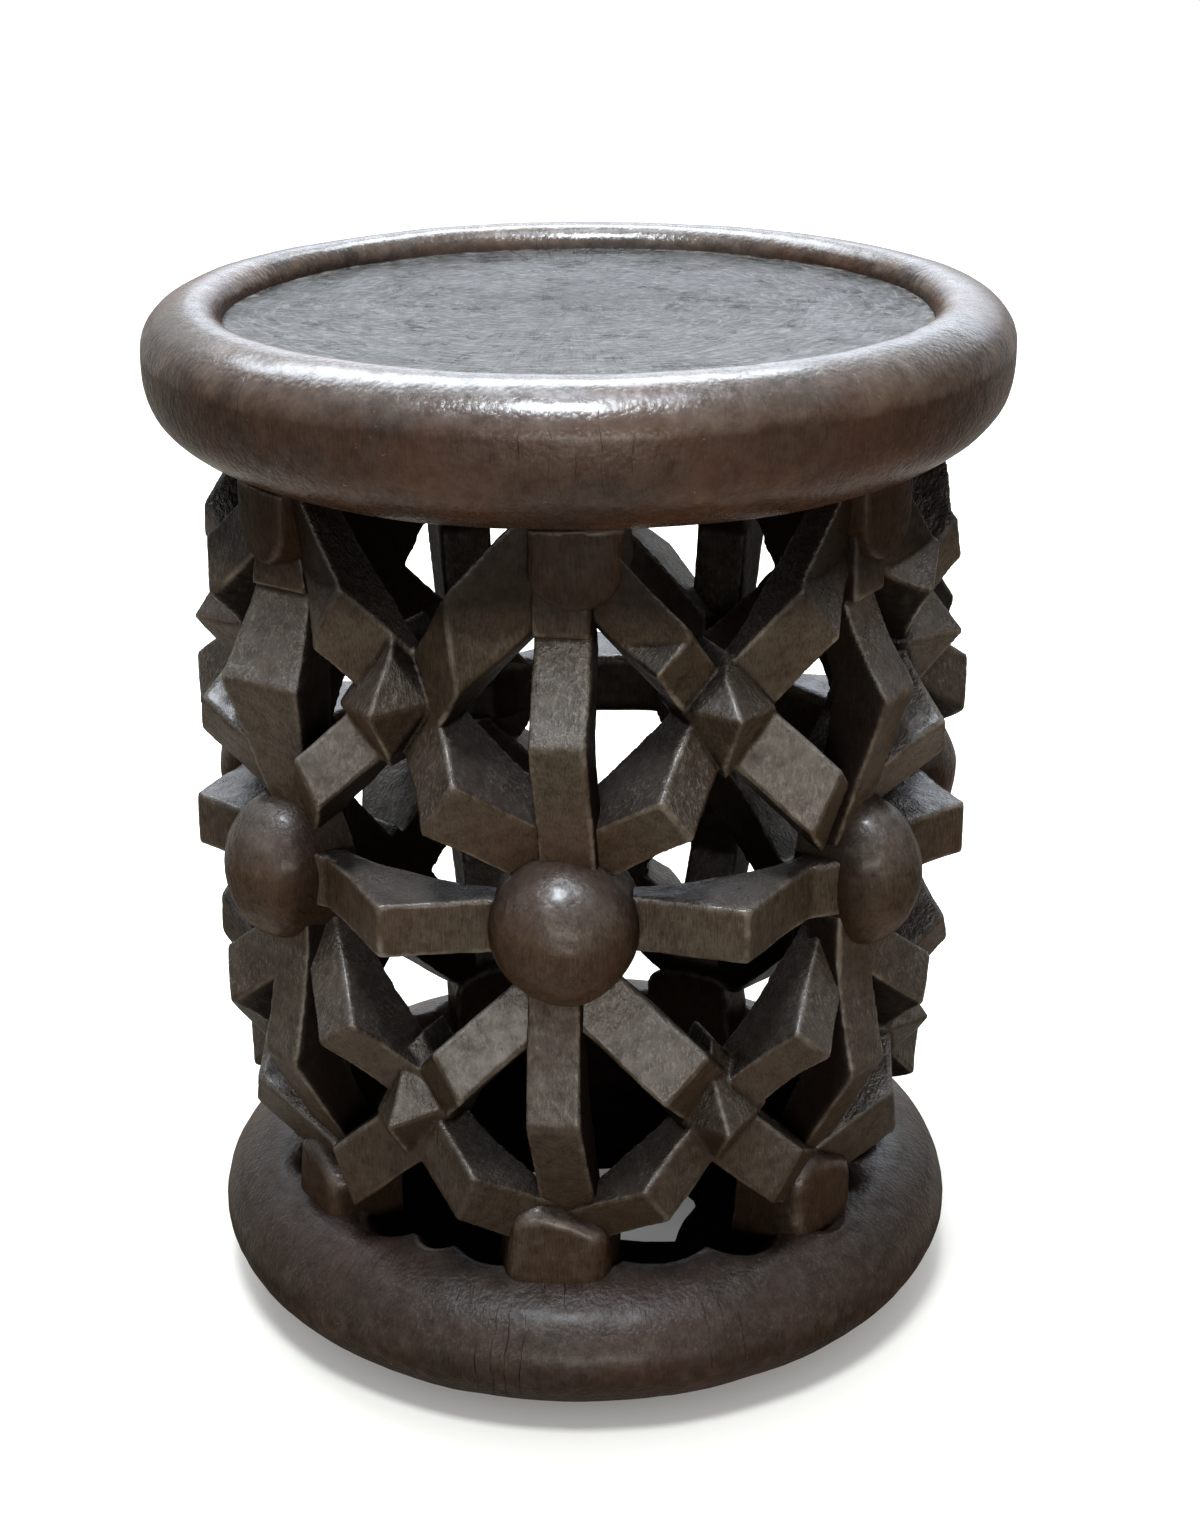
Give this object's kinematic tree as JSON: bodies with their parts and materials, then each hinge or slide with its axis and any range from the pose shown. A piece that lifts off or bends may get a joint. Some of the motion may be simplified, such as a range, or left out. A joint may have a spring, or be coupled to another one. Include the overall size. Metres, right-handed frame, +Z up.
{
  "type": "carved openwork stool",
  "caption": "Round wooden stool carved from a log: dished seat with a rolled rim, pierced lattice wall of crossed struts and domed bosses, and a rolled ring foot.",
  "frame": {"origin": "on the floor under the middle of the stool", "axes": "+Z up towards the seat; one upright column of the lattice faces -Y"},
  "size_m": [0.362, 0.362, 0.45],
  "materials": {
    "seat_wood": "waxed end grain, worn grey",
    "rim_wood": "dark patina, polished by hands",
    "ring_wood": "dark patina, dry and checked",
    "boss_wood": "dark patina, polished high spots",
    "lattice_wood": "dark patina, tool marks"
  },
  "bodies": {
    "root": {"seat_dish": "seat_wood", "seat_rim": "rim_wood", "base_ring": "ring_wood", "upper_boss_1": "boss_wood", "upper_boss_2": "boss_wood", "upper_boss_3": "boss_wood", "upper_boss_4": "boss_wood", "upper_boss_5": "boss_wood", "upper_boss_6": "boss_wood", "upper_boss_7": "boss_wood", "middle_boss_1": "boss_wood", "middle_boss_2": "boss_wood", "middle_boss_3": "boss_wood", "middle_boss_4": "boss_wood", "middle_boss_5": "boss_wood", "middle_boss_6": "boss_wood", "middle_boss_7": "boss_wood", "foot_boss_1": "boss_wood", "foot_boss_2": "boss_wood", "foot_boss_3": "boss_wood", "foot_boss_4": "boss_wood", "foot_boss_5": "boss_wood", "foot_boss_6": "boss_wood", "foot_boss_7": "boss_wood", "upper_post_1": "lattice_wood", "upper_post_2": "lattice_wood", "upper_post_3": "lattice_wood", "upper_post_4": "lattice_wood", "upper_post_5": "lattice_wood", "upper_post_6": "lattice_wood", "upper_post_7": "lattice_wood", "lower_post_1": "lattice_wood", "lower_post_2": "lattice_wood", "lower_post_3": "lattice_wood", "lower_post_4": "lattice_wood", "lower_post_5": "lattice_wood", "lower_post_6": "lattice_wood", "lower_post_7": "lattice_wood", "waist_bar_1": "lattice_wood", "waist_bar_2": "lattice_wood", "waist_bar_3": "lattice_wood", "waist_bar_4": "lattice_wood", "waist_bar_5": "lattice_wood", "waist_bar_6": "lattice_wood", "waist_bar_7": "lattice_wood", "upper_cross_1": "lattice_wood", "upper_cross_2": "lattice_wood", "upper_cross_3": "lattice_wood", "upper_cross_4": "lattice_wood", "upper_cross_5": "lattice_wood", "upper_cross_6": "lattice_wood", "upper_cross_7": "lattice_wood", "lower_cross_1": "lattice_wood", "lower_cross_2": "lattice_wood", "lower_cross_3": "lattice_wood", "lower_cross_4": "lattice_wood", "lower_cross_5": "lattice_wood", "lower_cross_6": "lattice_wood", "lower_cross_7": "lattice_wood"}
  },
  "joints": []
}
